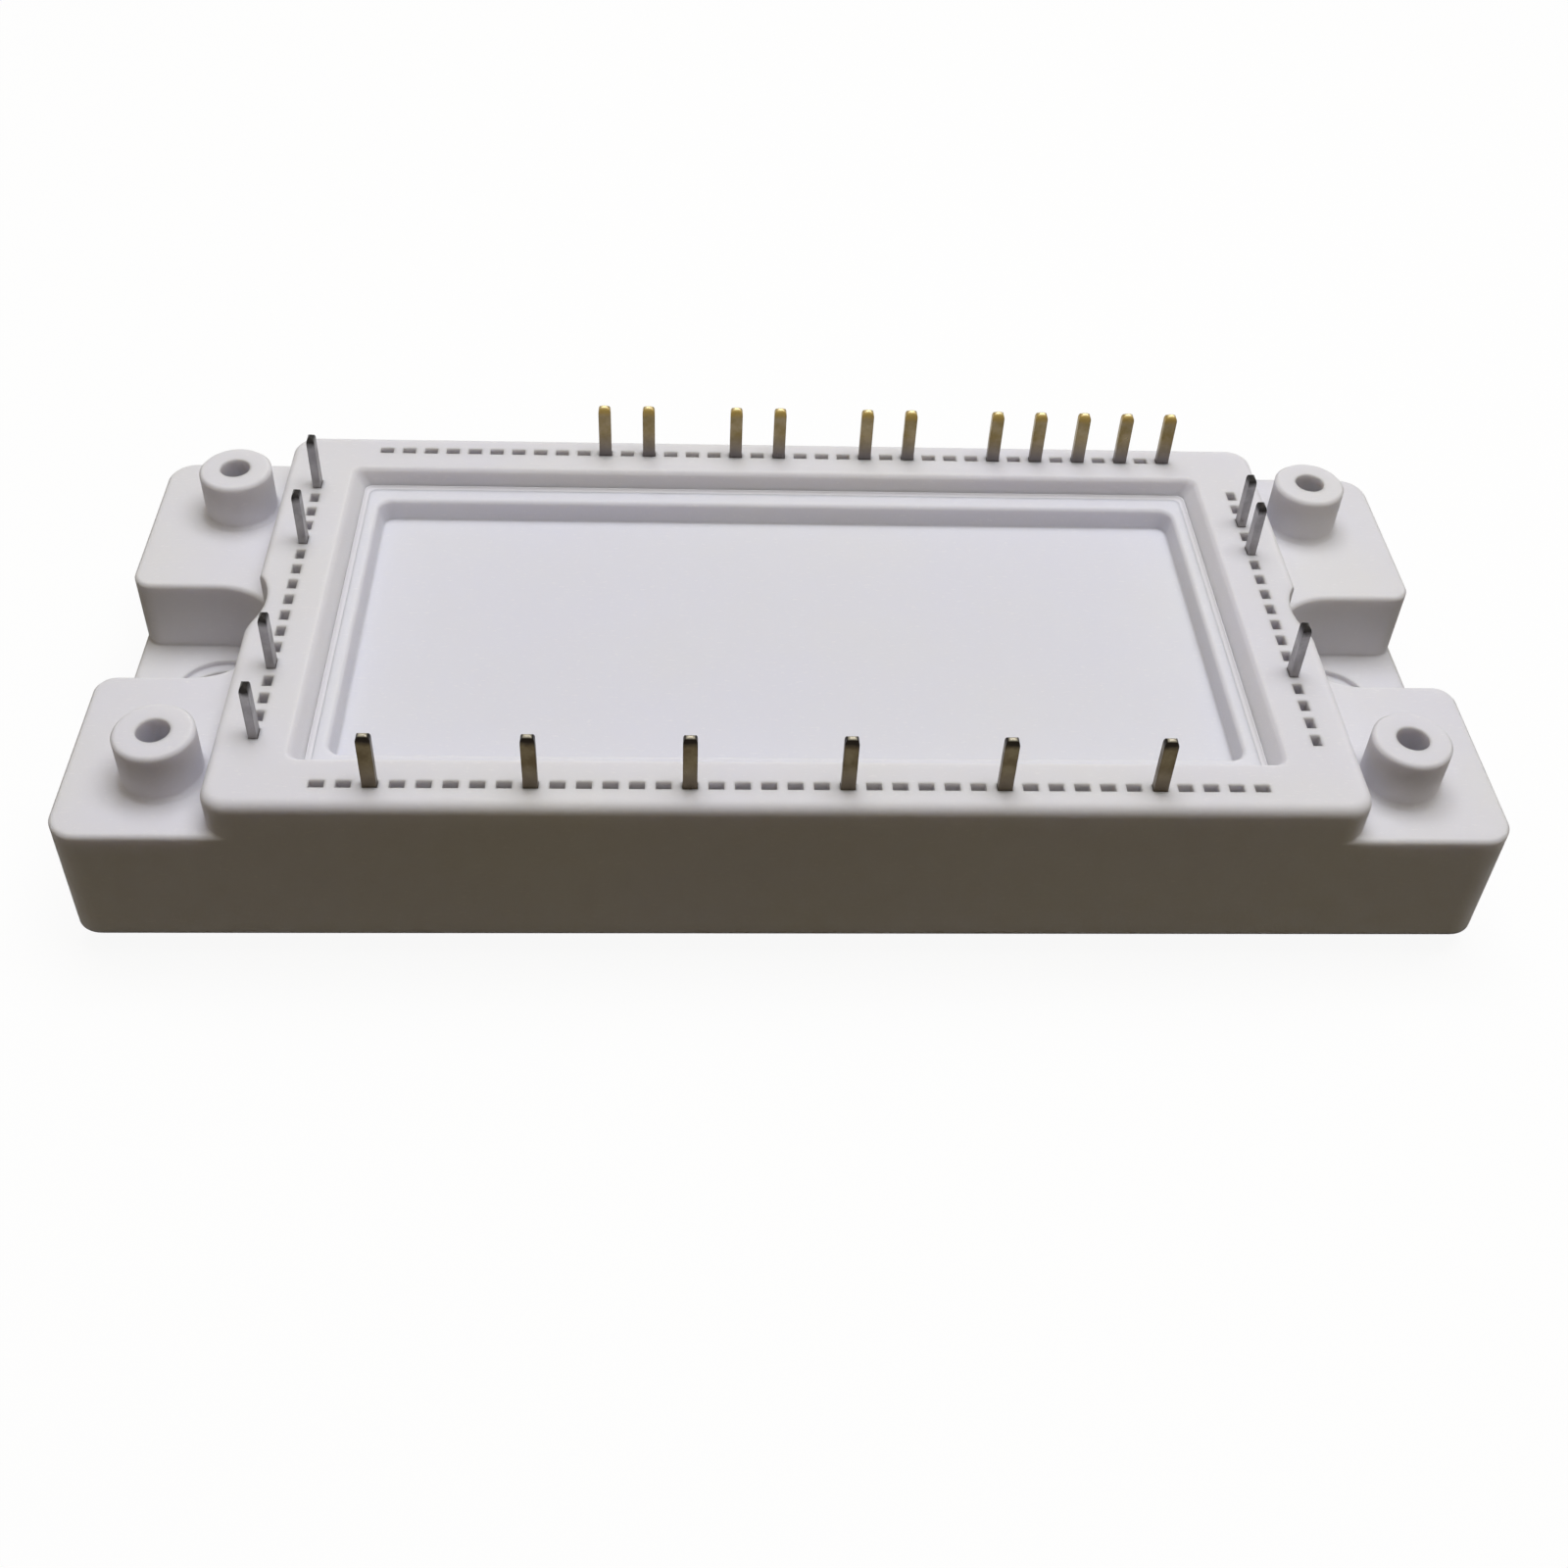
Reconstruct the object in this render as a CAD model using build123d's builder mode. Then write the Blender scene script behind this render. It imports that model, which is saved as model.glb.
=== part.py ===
"""Bridge rectifier module: a moulded power module with its terminals, lid, baseplate and circuit.

Millimetres. The origin is the centre of the baseplate's underside. X runs along the case,
-Y is the front, and +Z points from the baseplate to the circuit board that the module carries.
"""

import os
from math import atan, degrees

from build123d import *

os.makedirs("parts", exist_ok=True)

# Case outline
case_length = 107.5
case_width = 45.0
ear_length = 11.25  # from the end of the case to the raised middle
board_height = 17.0  # from the base to the boss tops, where the circuit board rests
boss_rise = 1.0  # boss tops above the raised middle
ear_drop = 3.3  # ear tops below the raised middle
corner_radius = 2.2  # upright corners of the case
raised_corner_radius = 2.0
raised_edge_radius = 0.9
ear_edge_chamfer = 0.25

# Baseplate, and the frame's seat for it
plate_thickness = 3.0
plate_reveal = 2.1  # how far the plate stands out below the frame
plate_lip = 2.2  # frame wall outside the plate
plate_fit = 0.1
plate_corner_radius = 1.5
plate_edge_chamfer = 0.3

# Mounting screws
screw_hole = 5.5
lead_in = 7.3  # shallow step in the flange that leads the screw in
lead_in_depth = 0.45
notch_width = 11.0
notch_bite = 1.25  # how far the notch cuts into the raised middle
notch_corner_radius = 1.6
flange_thickness = 3.1

# Bosses for the circuit board's screws
boss_gap = 1.0  # from the raised middle to a boss
boss_inset = 6.5  # from the side of the case to a boss's centre
boss_diameter = 6.0
boss_foot_chamfer = 0.3
boss_edge_chamfer = 0.25
boss_bore = 2.5
boss_bore_depth = 9.0
core_wall = 1.6  # wall left round the pockets under the ears

# Terminals and their slots, which are 1.905 mm apart both ways
row_slots = 37
column_slots = 17
row_end = 8.21  # from the end of the raised middle to a row's last slot
column_end = 7.26  # from the side of the case to a column's last slot
row_inset = 2.2  # slot row in from the side of the case
column_inset = 2.96  # slot column in from the end of the raised middle
front_places = (2, 8, 14, 20, 26, 32)
back_places = (10, 12, 16, 18, 22, 24, 28, 30, 32, 34, 36)
left_places = (0, 4, 12, 16)
right_places = (2, 4, 12)
pin_width = 1.05
pin_thickness = 0.65
pin_height = 5.0  # above the raised middle
pin_fit = 0.05
pin_bevel = 0.18
pin_bend_chamfer = 0.25
barb_height = 1.2
barb_drop = 6.0  # top of the barbs below the raised middle
slot_depth = 2.0

# Lid and its opening in the frame
row_margin = 2.7  # from a slot row to the opening's edge
column_margin = 2.89
opening_corner_radius = 0.7
opening_edge_chamfer = 0.3
lip_depth = 1.8
lip_draft = 0.32  # of the front and back walls
lip_side_draft = 0.85
lid_fit = 0.05
lid_rim = 1.6
lid_step = 2.1  # from the opening's edge to the well's edge
lid_floor = 1.5
lid_seat = 0.85
well_depth = 1.85
well_draft = 0.3
well_corner_radius = 1.2
well_edge_chamfer = 0.2

# Shelf for the terminals' feet, and the adhesive bead under it
shelf_height = 2.6
shelf_width = 3.0
shelf_corner_radius = 1.0
foot_land = 2.2  # length of foot that lies open on the shelf
bead_inset = 1.2
bead_width = 1.6
bead_height = 0.5

# Copper-bonded ceramic
substrate_gap = 0.7  # from the shelf to the ceramic
solder_thickness = 0.15
copper_thickness = 0.3
ceramic_thickness = 0.38
copper_margin = 0.5
track_gap = 0.8
rail_width = 2.7
brake_zone = 8.0
phases = 3

# Chips
chip_thickness = 0.3
chip_margin = 1.4  # from a chip to the end of its pad, with room for a terminal's ribbon
chip_back_margin = 1.1
chip_strip = 1.8  # free strip of pad for the next chip's ribbon
chip_gap = 1.1
freewheel_saving = 0.8  # how much narrower a diode is than the switch beside it
thermistor_length = 3.2
thermistor_width = 1.6
thermistor_height = 0.9
thermistor_neighbour = 16  # place of the back terminal that lands beside the thermistor
thermistor_clearance = 0.3

# Bond ribbons and gel
bond_width = 0.7
bond_thickness = 0.2
bond_land = 0.7
bond_loop = 0.9
bond_edge = 0.9  # from a land's centre to the edge of what carries it
bond_corner = 2.2  # ribbons land this far from the substrate's corners
gel_cover = 2.8

# Reach for picking edges and faces by their place
near = 0.01

# Levels above the base
frame_bottom = plate_reveal
notch_floor = plate_thickness + flange_thickness
shelf_top = plate_thickness + shelf_height
raised_top = board_height - boss_rise
ear_top = raised_top - ear_drop
pin_top = raised_top + pin_height
rim_top = raised_top - lip_depth
seat_level = rim_top - lid_rim
well_floor = rim_top - well_depth
lid_underside = well_floor - lid_floor
solder_top = plate_thickness + solder_thickness
back_copper_top = solder_top + copper_thickness
ceramic_top = back_copper_top + ceramic_thickness
track_top = ceramic_top + copper_thickness
chip_top = track_top + chip_thickness
gel_top = shelf_top + gel_cover

# Plan sizes that follow from the ones above
raised_length = case_length - 2 * ear_length
boss_x = raised_length / 2 + boss_gap + boss_diameter / 2
boss_y = case_width / 2 - boss_inset
screw_x = boss_x
notch_round_x = raised_length / 2 - notch_bite + notch_width / 2
plate_length = case_length - 2 * plate_lip
plate_width = case_width - 2 * plate_lip
row_y = case_width / 2 - row_inset
column_x = raised_length / 2 - column_inset
row_pitch = (raised_length - 2 * row_end) / (row_slots - 1)
column_pitch = (case_width - 2 * column_end) / (column_slots - 1)
slot_length = pin_width + 2 * pin_fit
slot_width = pin_thickness + 2 * pin_fit
opening_length = 2 * (column_x - column_margin)
opening_width = 2 * (row_y - row_margin)
pocket_length = opening_length - 2 * lip_side_draft
pocket_width = opening_width - 2 * lip_draft
cavity_length = pocket_length - 2 * lid_seat
cavity_width = pocket_width - 2 * lid_seat
shelf_length = cavity_length - 2 * shelf_width
shelf_depth = cavity_width - 2 * shelf_width
bead_inner_length = shelf_length + 2 * bead_inset
bead_inner_width = shelf_depth + 2 * bead_inset
ceramic_length = shelf_length - 2 * substrate_gap
ceramic_width = shelf_depth - 2 * substrate_gap
copper_length = ceramic_length - 2 * copper_margin
copper_width = ceramic_width - 2 * copper_margin
copper_x = copper_length / 2
copper_y = copper_width / 2
well_taper = degrees(atan(well_draft / well_depth))


def row_x(place):
    """X of a slot in the front and back rows, counted from the left."""
    return (place - (row_slots - 1) / 2) * row_pitch


def column_y(place):
    """Y of a slot in the left and right columns, counted from the back."""
    return ((column_slots - 1) / 2 - place) * column_pitch


# Every terminal: its name, its place and the direction in which its foot points
terminals = []
for number, place in enumerate(front_places, start=1):
    terminals.append((f"pin_front_{number}", row_x(place), -row_y, (0, 1, 0)))
for number, place in enumerate(back_places, start=1):
    terminals.append((f"pin_back_{number}", row_x(place), row_y, (0, -1, 0)))
for number, place in enumerate(left_places, start=1):
    terminals.append((f"pin_left_{number}", -column_x, column_y(place), (1, 0, 0)))
for number, place in enumerate(right_places, start=1):
    terminals.append((f"pin_right_{number}", column_x, column_y(place), (-1, 0, 0)))

row_terminals = [(x, y) for name, x, y, inward in terminals if inward[0] == 0]
column_terminals = [(x, y) for name, x, y, inward in terminals if inward[0] != 0]


# Frame: one glass-filled moulding that holds everything else
with BuildPart() as housing_frame:
    with BuildSketch(Plane.XY.offset(frame_bottom)):
        RectangleRounded(case_length, case_width, corner_radius)
    extrude(amount=ear_top - frame_bottom)

    # The screw notches, open at the ends of the case
    with BuildSketch(Plane.XY.offset(notch_floor)):
        for side in (-1, 1):
            with Locations((side * notch_round_x, 0)):
                Circle(notch_width / 2)
            with Locations((side * (notch_round_x + case_length / 2) / 2, 0)):
                Rectangle(case_length / 2 - notch_round_x, notch_width)
    extrude(amount=ear_top - notch_floor, mode=Mode.SUBTRACT)
    mouth_edges = (
        housing_frame.edges()
        .filter_by(Axis.Z)
        .filter_by_position(Axis.Y, -notch_width / 2 - near, notch_width / 2 + near)
        .filter_by(lambda edge: abs(edge.center().X) > case_length / 2 - near)
    )
    fillet(mouth_edges, notch_corner_radius)
    chamfer(housing_frame.faces().sort_by(Axis.Z)[-1].edges(), ear_edge_chamfer)

    # The raised middle, which the notches also cut into
    with BuildSketch(Plane.XY.offset(notch_floor)):
        RectangleRounded(raised_length, case_width, raised_corner_radius)
    extrude(amount=raised_top - notch_floor)
    fillet(housing_frame.faces().sort_by(Axis.Z)[-1].edges(), raised_edge_radius)
    with BuildSketch(Plane.XY.offset(notch_floor)):
        with Locations((-notch_round_x, 0), (notch_round_x, 0)):
            Circle(notch_width / 2)
    extrude(amount=raised_top - notch_floor, mode=Mode.SUBTRACT)

    # Bosses with blind bores
    with Locations((0, 0, (ear_top + board_height) / 2)):
        with GridLocations(2 * boss_x, 2 * boss_y, 2, 2):
            Cylinder(boss_diameter / 2, board_height - ear_top)
    boss_circles = housing_frame.edges().filter_by(GeomType.CIRCLE)
    chamfer(
        boss_circles.filter_by_position(Axis.Z, board_height - near, board_height + near),
        boss_edge_chamfer,
    )
    boss_feet = (
        housing_frame.edges()
        .filter_by(GeomType.CIRCLE)
        .filter_by_position(Axis.Z, ear_top - near, ear_top + near)
        .filter_by(lambda edge: abs(edge.radius - boss_diameter / 2) < near)
    )
    chamfer(boss_feet, boss_foot_chamfer)
    with Locations((0, 0, board_height)):
        with GridLocations(2 * boss_x, 2 * boss_y, 2, 2):
            Hole(boss_bore / 2, depth=boss_bore_depth)

    # Opening for the lid: a drafted lip, a pocket for the rim, and the cavity below
    with BuildSketch(Plane.XY.offset(rim_top)):
        RectangleRounded(pocket_length, pocket_width, opening_corner_radius)
    with BuildSketch(Plane.XY.offset(raised_top - opening_edge_chamfer)) as opening_mouth:
        RectangleRounded(opening_length, opening_width, opening_corner_radius)
    loft(ruled=True, mode=Mode.SUBTRACT)
    extrude(opening_mouth.sketch, amount=opening_edge_chamfer, taper=-45, mode=Mode.SUBTRACT)
    with BuildSketch(Plane.XY.offset(seat_level)):
        RectangleRounded(pocket_length, pocket_width, opening_corner_radius)
    extrude(amount=lid_rim, mode=Mode.SUBTRACT)
    with BuildSketch(Plane.XY.offset(shelf_top)):
        RectangleRounded(cavity_length, cavity_width, opening_corner_radius)
    extrude(amount=seat_level - shelf_top, mode=Mode.SUBTRACT)

    # Underside: the plate's seat, the shelf's opening, the bead's groove, the screw holes
    with BuildSketch(Plane.XY.offset(frame_bottom)):
        RectangleRounded(
            plate_length + 2 * plate_fit, plate_width + 2 * plate_fit, plate_corner_radius
        )
    extrude(amount=plate_thickness - frame_bottom, mode=Mode.SUBTRACT)
    with BuildSketch(Plane.XY.offset(plate_thickness)):
        RectangleRounded(shelf_length, shelf_depth, shelf_corner_radius)
    extrude(amount=shelf_height, mode=Mode.SUBTRACT)
    with BuildSketch(Plane.XY.offset(plate_thickness)):
        Rectangle(bead_inner_length + 2 * bead_width, bead_inner_width + 2 * bead_width)
        Rectangle(bead_inner_length, bead_inner_width, mode=Mode.SUBTRACT)
    extrude(amount=bead_height, mode=Mode.SUBTRACT)
    with BuildSketch(Plane.XY.offset(plate_thickness)):
        with GridLocations(2 * screw_x, 0, 2, 1):
            Circle(screw_hole / 2)
    extrude(amount=flange_thickness, mode=Mode.SUBTRACT)
    with BuildSketch(Plane.XY.offset(notch_floor)):
        with GridLocations(2 * screw_x, 0, 2, 1):
            Circle(lead_in / 2)
    extrude(amount=-lead_in_depth, mode=Mode.SUBTRACT)

    # Pockets under the ears keep the moulding's walls even
    core_start_x = raised_length / 2 + core_wall
    core_end_x = plate_length / 2 - core_wall
    core_start_y = notch_width / 2 + core_wall
    core_end_y = boss_y - boss_diameter / 2 - core_wall / 2
    with BuildSketch(Plane.XY.offset(plate_thickness)):
        with GridLocations(core_start_x + core_end_x, core_start_y + core_end_y, 2, 2):
            Rectangle(core_end_x - core_start_x, core_end_y - core_start_y)
    extrude(amount=ear_top - core_wall - plate_thickness, mode=Mode.SUBTRACT)

    # Terminal slots, then the channels and foot passages of those that hold a terminal.
    # The passages reach past the cavity's rounded corners.
    with BuildSketch(Plane.XY.offset(raised_top - slot_depth)):
        with GridLocations(row_pitch, 2 * row_y, row_slots, 2):
            Rectangle(slot_length, slot_width)
        with GridLocations(2 * column_x, column_pitch, 2, column_slots):
            Rectangle(slot_width, slot_length)
    extrude(amount=slot_depth, mode=Mode.SUBTRACT)
    with BuildSketch(Plane.XY.offset(shelf_top)):
        with Locations(*row_terminals):
            Rectangle(slot_length, slot_width)
        with Locations(*column_terminals):
            Rectangle(slot_width, slot_length)
    extrude(amount=raised_top - slot_depth - shelf_top, mode=Mode.SUBTRACT)
    row_passage = row_y - cavity_width / 2 + opening_corner_radius
    column_passage = column_x - cavity_length / 2 + opening_corner_radius
    with BuildSketch(Plane.XY.offset(shelf_top)):
        for x, y in row_terminals:
            with Locations((x, y - row_passage / 2 * (1 if y > 0 else -1))):
                Rectangle(slot_length, row_passage)
        for x, y in column_terminals:
            with Locations((x - column_passage / 2 * (1 if x > 0 else -1), y)):
                Rectangle(column_passage, slot_length)
    extrude(amount=pin_thickness + pin_fit, mode=Mode.SUBTRACT)

housing_frame.part.label = "housing_frame"
export_step(housing_frame.part, "parts/housing_frame.step")


# Lid: a tray whose rim rests on the ledge of the frame's opening
with BuildPart() as lid:
    with BuildSketch(Plane.XY.offset(seat_level)):
        RectangleRounded(
            pocket_length - 2 * lid_fit,
            pocket_width - 2 * lid_fit,
            opening_corner_radius - lid_fit,
        )
    extrude(amount=lid_rim)
    with BuildSketch(Plane.XY.offset(lid_underside)):
        RectangleRounded(
            cavity_length - 2 * lid_fit,
            cavity_width - 2 * lid_fit,
            opening_corner_radius - lid_fit,
        )
    extrude(amount=seat_level - lid_underside)
    with BuildSketch(Plane.XY.offset(rim_top)):
        RectangleRounded(
            opening_length - 2 * lid_step, opening_width - 2 * lid_step, well_corner_radius
        )
    extrude(amount=-well_depth, taper=well_taper, mode=Mode.SUBTRACT)
    rim_face = lid.faces().sort_by(Axis.Z)[-1]
    chamfer(rim_face.inner_wires()[0].edges(), well_edge_chamfer)

lid.part.label = "lid"
export_step(lid.part, "parts/lid.step")


# Baseplate: nickel-plated copper, with the holes that screw it to a heat sink
with BuildPart() as baseplate:
    with BuildSketch():
        RectangleRounded(plate_length, plate_width, plate_corner_radius)
    extrude(amount=plate_thickness)
    chamfer(baseplate.faces().sort_by(Axis.Z)[0].edges(), plate_edge_chamfer)
    with BuildSketch():
        with GridLocations(2 * screw_x, 0, 2, 1):
            Circle(screw_hole / 2)
    extrude(amount=plate_thickness, mode=Mode.SUBTRACT)

baseplate.part.label = "baseplate"
export_step(baseplate.part, "parts/baseplate.step")


# Adhesive bead in the groove between frame and baseplate
with BuildPart() as seal_bead:
    with BuildSketch(Plane.XY.offset(plate_thickness)):
        Rectangle(bead_inner_length + 2 * bead_width, bead_inner_width + 2 * bead_width)
        Rectangle(bead_inner_length, bead_inner_width, mode=Mode.SUBTRACT)
    extrude(amount=bead_height)

seal_bead.part.label = "seal_bead"
export_step(seal_bead.part, "parts/seal_bead.step")


# Copper-bonded ceramic on its solder layer
with BuildPart() as substrate_solder:
    with BuildSketch(Plane.XY.offset(plate_thickness)):
        Rectangle(copper_length, copper_width)
    extrude(amount=solder_thickness)

substrate_solder.part.label = "substrate_solder"
export_step(substrate_solder.part, "parts/substrate_solder.step")

with BuildPart() as substrate_back_copper:
    with BuildSketch(Plane.XY.offset(solder_top)):
        Rectangle(copper_length, copper_width)
    extrude(amount=copper_thickness)

substrate_back_copper.part.label = "substrate_back_copper"
export_step(substrate_back_copper.part, "parts/substrate_back_copper.step")

with BuildPart() as substrate_ceramic:
    with BuildSketch(Plane.XY.offset(back_copper_top)):
        Rectangle(ceramic_length, ceramic_width)
    extrude(amount=ceramic_thickness)

substrate_ceramic.part.label = "substrate_ceramic"
export_step(substrate_ceramic.part, "parts/substrate_ceramic.step")


# Tracks: rails along the front and back edges, and two rows of pads between them.
# The rectifier is at the left, the brake chopper next to it and the inverter at the right.
pad_depth = copper_y - rail_width - 1.5 * track_gap
pad_y = track_gap / 2 + pad_depth / 2
rail_y = copper_y - rail_width / 2
thermistor_end = row_x(thermistor_neighbour) - bond_width / 2 - thermistor_clearance
brake_x = thermistor_end - thermistor_length / 2
brake_start = brake_x - brake_zone / 2
rectifier_start = -copper_x
rectifier_zone = brake_start - track_gap - rectifier_start
inverter_start = brake_start + brake_zone + track_gap
inverter_zone = copper_x - inverter_start
rectifier_step = (rectifier_zone + track_gap) / phases
inverter_step = (inverter_zone + track_gap) / phases
rectifier_x = [rectifier_start + rectifier_step * (phase + 0.5) - track_gap / 2 for phase in range(phases)]
inverter_x = [inverter_start + inverter_step * (phase + 0.5) - track_gap / 2 for phase in range(phases)]
thermistor_gap = thermistor_length / 3

with BuildPart() as substrate_tracks:
    with BuildSketch(Plane.XY.offset(ceramic_top)):
        # Row on the positive rail, at the back
        with Locations((rectifier_start + rectifier_zone / 2, pad_y)):
            Rectangle(rectifier_zone, pad_depth)
        with Locations((inverter_start + inverter_zone / 2, pad_y)):
            Rectangle(inverter_zone, pad_depth)
        # Brake pads, and the split pad of the thermistor behind them
        with Locations((brake_x, pad_y), (brake_x, -pad_y)):
            Rectangle(brake_zone, pad_depth)
        with Locations((brake_x, rail_y)):
            Rectangle(brake_zone, rail_width)
            Rectangle(thermistor_gap, rail_width, mode=Mode.SUBTRACT)
        # A pad for each phase, with its gate or input pad behind
        for x in rectifier_x:
            with Locations((x, -pad_y)):
                Rectangle(rectifier_step - track_gap, pad_depth)
            with Locations((x, rail_y)):
                Rectangle(rectifier_step - track_gap, rail_width)
        for x in inverter_x:
            with Locations((x, -pad_y)):
                Rectangle(inverter_step - track_gap, pad_depth)
            with Locations((x, rail_y)):
                Rectangle(inverter_step - track_gap, rail_width)
        # Negative rail along the front edge
        with Locations((0, -rail_y)):
            Rectangle(copper_length, rail_width)
    extrude(amount=copper_thickness)

substrate_tracks.part.label = "substrate_tracks"
export_step(substrate_tracks.part, "parts/substrate_tracks.step")


# Chips, soldered on the pads: the back row is the high side of each bridge
chip_depth = pad_depth - chip_strip - chip_back_margin
chip_y = track_gap / 2 + chip_strip + chip_depth / 2
rectifier_chip = rectifier_step - track_gap - 2 * chip_margin
pair_width = inverter_step - track_gap - 2 * chip_margin - chip_gap
switch_chip = (pair_width + freewheel_saving) / 2
freewheel_chip = (pair_width - freewheel_saving) / 2
switch_shift = (freewheel_chip + chip_gap) / 2
freewheel_shift = (switch_chip + chip_gap) / 2
chips = []
for row, y in ((0, chip_y), (phases, -chip_y)):
    for number, x in enumerate(rectifier_x, start=row + 1):
        chips.append((f"rectifier_diode_{number}", x, y, rectifier_chip))
    for number, x in enumerate(inverter_x, start=row + 1):
        chips.append((f"inverter_switch_{number}", x - switch_shift, y, switch_chip))
        chips.append((f"freewheel_diode_{number}", x + freewheel_shift, y, freewheel_chip))
chips.append(("brake_diode", brake_x, chip_y, freewheel_chip))
chips.append(("brake_switch", brake_x, -chip_y, switch_chip))

chip_solids = []
for name, x, y, size in chips:
    with BuildPart() as chip:
        with BuildSketch(Plane((x, y, track_top))):
            Rectangle(size, chip_depth)
        extrude(amount=chip_thickness)
    chip.part.label = name
    chip_solids.append(chip.part)
    export_step(chip.part, f"parts/{name}.step")

with BuildPart() as thermistor:
    with BuildSketch(Plane((brake_x, rail_y, track_top))):
        Rectangle(thermistor_length, thermistor_width)
    extrude(amount=thermistor_height)

thermistor.part.label = "thermistor"
export_step(thermistor.part, "parts/thermistor.step")


# Terminals: stamped and bent strip, with barbs that grip the frame's channel
row_foot = row_y - cavity_width / 2 + foot_land
column_foot = column_x - cavity_length / 2 + foot_land
terminal_solids = []
for name, x, y, inward in terminals:
    foot_length = row_foot if inward[0] == 0 else column_foot
    along = (-inward[1], inward[0], 0)
    profile_plane = Plane((x, y, 0), x_dir=inward, z_dir=(inward[1], -inward[0], 0))
    with BuildPart() as terminal:
        with BuildSketch(profile_plane) as strip:
            with BuildLine():
                Polyline(
                    (-pin_thickness / 2, shelf_top),
                    (foot_length, shelf_top),
                    (foot_length, shelf_top + pin_thickness),
                    (pin_thickness / 2, shelf_top + pin_thickness),
                    (pin_thickness / 2, pin_top),
                    (-pin_thickness / 2, pin_top),
                    close=True,
                )
            make_face()
            heel = strip.vertices().group_by(Axis.Y)[0].sort_by(Axis.X)[0]
            chamfer(heel, pin_bend_chamfer)
        extrude(amount=pin_width / 2, both=True)
        chamfer(terminal.faces().sort_by(Axis.Z)[-1].edges(), pin_bevel)
        with BuildSketch(Plane((x, y, raised_top - barb_drop), x_dir=along)):
            Rectangle(slot_length, pin_thickness)
        extrude(amount=-barb_height)
    terminal.part.label = name
    terminal_solids.append(terminal.part)
    export_step(terminal.part, f"parts/{name}.step")


def make_bond(start, end):
    """A ribbon that is bonded down at both ends, pressed thin there, with a low loop between."""
    span_x = end[0] - start[0]
    span_y = end[1] - start[1]
    span = (span_x**2 + span_y**2) ** 0.5
    upright = Plane(start, x_dir=(span_x, span_y, 0), z_dir=(span_y, -span_x, 0))
    half_land = bond_land / 2
    drop = end[2] - start[2]
    top_x = span * 0.45
    with BuildPart() as bond:
        with BuildSketch(upright):
            with BuildLine():
                Polyline(
                    (-half_land, 0),
                    (half_land, 0),
                    (top_x, bond_loop - bond_thickness),
                    (span - half_land, drop),
                    (span + half_land, drop),
                    (top_x, bond_loop),
                    close=True,
                )
            make_face()
        extrude(amount=bond_width / 2, both=True)
    return bond.part


def landing(x, y, inward):
    """Where on the tracks the ribbon from a terminal comes down."""
    side_x = 1 if x > 0 else -1
    side_y = 1 if y > 0 else -1
    if (inward[0] == 0 and abs(x) > copper_x) or (inward[0] != 0 and abs(y) > copper_y):
        return side_x * (copper_x - bond_land), side_y * (copper_y - bond_land), track_top
    if inward[0] == 0:
        nearest = min(abs(x), copper_x - bond_corner)
        return side_x * nearest, side_y * (copper_y - bond_edge), track_top
    nearest = min(abs(y), copper_y - bond_corner)
    return side_x * (copper_x - bond_edge), side_y * nearest, track_top


# Ribbons from the terminals' feet to the tracks, and from the chips to the next pad
foot_top = shelf_top + pin_thickness
terminal_ribbons = []
for name, x, y, inward in terminals:
    reach = (row_foot if inward[0] == 0 else column_foot) - bond_edge
    foot_centre = (x + inward[0] * reach, y + inward[1] * reach, foot_top)
    terminal_ribbons.append(make_bond(foot_centre, landing(x, y, inward)))

with BuildPart() as terminal_bonds:
    add(terminal_ribbons)

terminal_bonds.part.label = "terminal_bonds"
export_step(terminal_bonds.part, "parts/terminal_bonds.step")

phase_land = -(track_gap / 2 + bond_edge)
rail_land = -(copper_y - rail_width + bond_edge)
chip_ribbons = []
for name, x, y, size in chips:
    pad_centre = (x, phase_land if y > 0 else rail_land, track_top)
    chip_ribbons.append(make_bond((x, y, chip_top), pad_centre))

with BuildPart() as chip_bonds:
    add(chip_ribbons)

chip_bonds.part.label = "chip_bonds"
export_step(chip_bonds.part, "parts/chip_bonds.step")


# Silicone gel: fills the cavity over the circuit and round the terminals' feet
with BuildPart() as silicone_gel:
    with BuildSketch(Plane.XY.offset(shelf_top)):
        RectangleRounded(cavity_length, cavity_width, opening_corner_radius)
    extrude(amount=gel_cover)
    with BuildSketch(Plane.XY.offset(plate_thickness)):
        RectangleRounded(shelf_length, shelf_depth, shelf_corner_radius)
    extrude(amount=shelf_height)
    add(terminal_solids, mode=Mode.SUBTRACT)
    add(
        [substrate_solder.part, substrate_back_copper.part, substrate_ceramic.part],
        mode=Mode.SUBTRACT,
    )
    add([substrate_tracks.part, thermistor.part, *chip_solids], mode=Mode.SUBTRACT)
    add([terminal_bonds.part, chip_bonds.part], mode=Mode.SUBTRACT)

silicone_gel.part.label = "silicone_gel"
export_step(silicone_gel.part, "parts/silicone_gel.step")
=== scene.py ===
"""A power module with a bridge rectifier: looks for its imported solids, and the set around them."""

import math

import bmesh
import bpy
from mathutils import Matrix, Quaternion, Vector


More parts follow.
